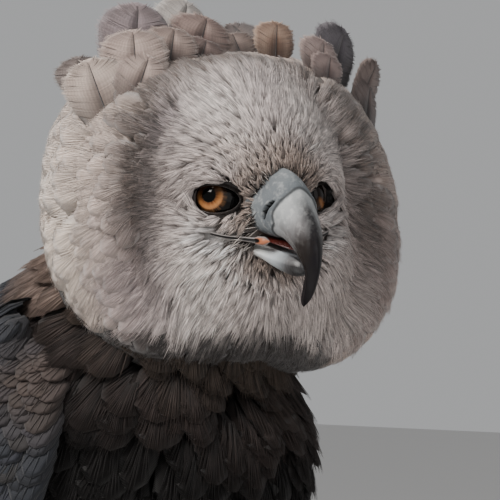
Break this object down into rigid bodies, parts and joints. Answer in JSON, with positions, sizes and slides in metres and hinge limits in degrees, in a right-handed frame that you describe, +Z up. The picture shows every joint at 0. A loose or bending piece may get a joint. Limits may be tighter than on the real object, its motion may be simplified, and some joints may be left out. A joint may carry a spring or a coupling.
{
  "type": "harpy eagle",
  "caption": "Still, life-size harpy eagle standing at rest, wings and tail folded, head turned to its right with the crest raised.",
  "frame": {"origin": "on the floor, at the middle of the bottom of the bird's box", "axes": "+Z up, the body facing -Y with its left side toward +X; the head is turned 25 degrees toward its right, -X"},
  "size_m": [0.2776, 0.6532, 0.6932],
  "materials": {
    "face_feathers": "dense soft feathers, pale warm grey",
    "crest_feathers": "broad crest feathers, grey brown with dark shafts",
    "neck_feathers": "fringed collar feathers, grey brown to black",
    "body_feathers": "close body feathers, black on the breast and white below",
    "wing_feathers": "firm slate black feathers",
    "tail_feathers": "long black feathers with grey bars",
    "thigh_feathers": "white feathers with fine dark bars",
    "bill_horn": "smooth slate horn",
    "bill_pale": "smooth pale grey horn",
    "mouth_skin": "moist orange red skin",
    "eye": "wet amber brown eye",
    "leg_skin": "yellow scaled skin",
    "claw_horn": "smooth black horn"
  },
  "bodies": {
    "root": {"crest_left": "crest_feathers", "eye_left": "eye", "crest_right": "crest_feathers", "eye_right": "eye", "head": "face_feathers", "bill_upper": "bill_horn", "bill_lower": "bill_pale", "tongue": "mouth_skin", "neck": "neck_feathers", "torso": "body_feathers", "tail": "tail_feathers", "wing_left": "wing_feathers", "thigh_left": "thigh_feathers", "shank_left": "leg_skin", "foot_left": "leg_skin", "toe_hallux_left": "leg_skin", "claw_hallux_left": "claw_horn", "toe_inner_left": "leg_skin", "claw_inner_left": "claw_horn", "toe_middle_left": "leg_skin", "claw_middle_left": "claw_horn", "toe_outer_left": "leg_skin", "claw_outer_left": "claw_horn", "wing_right": "wing_feathers", "thigh_right": "thigh_feathers", "shank_right": "leg_skin", "foot_right": "leg_skin", "toe_hallux_right": "leg_skin", "claw_hallux_right": "claw_horn", "toe_inner_right": "leg_skin", "claw_inner_right": "claw_horn", "toe_middle_right": "leg_skin", "claw_middle_right": "claw_horn", "toe_outer_right": "leg_skin", "claw_outer_right": "claw_horn"}
  },
  "joints": []
}
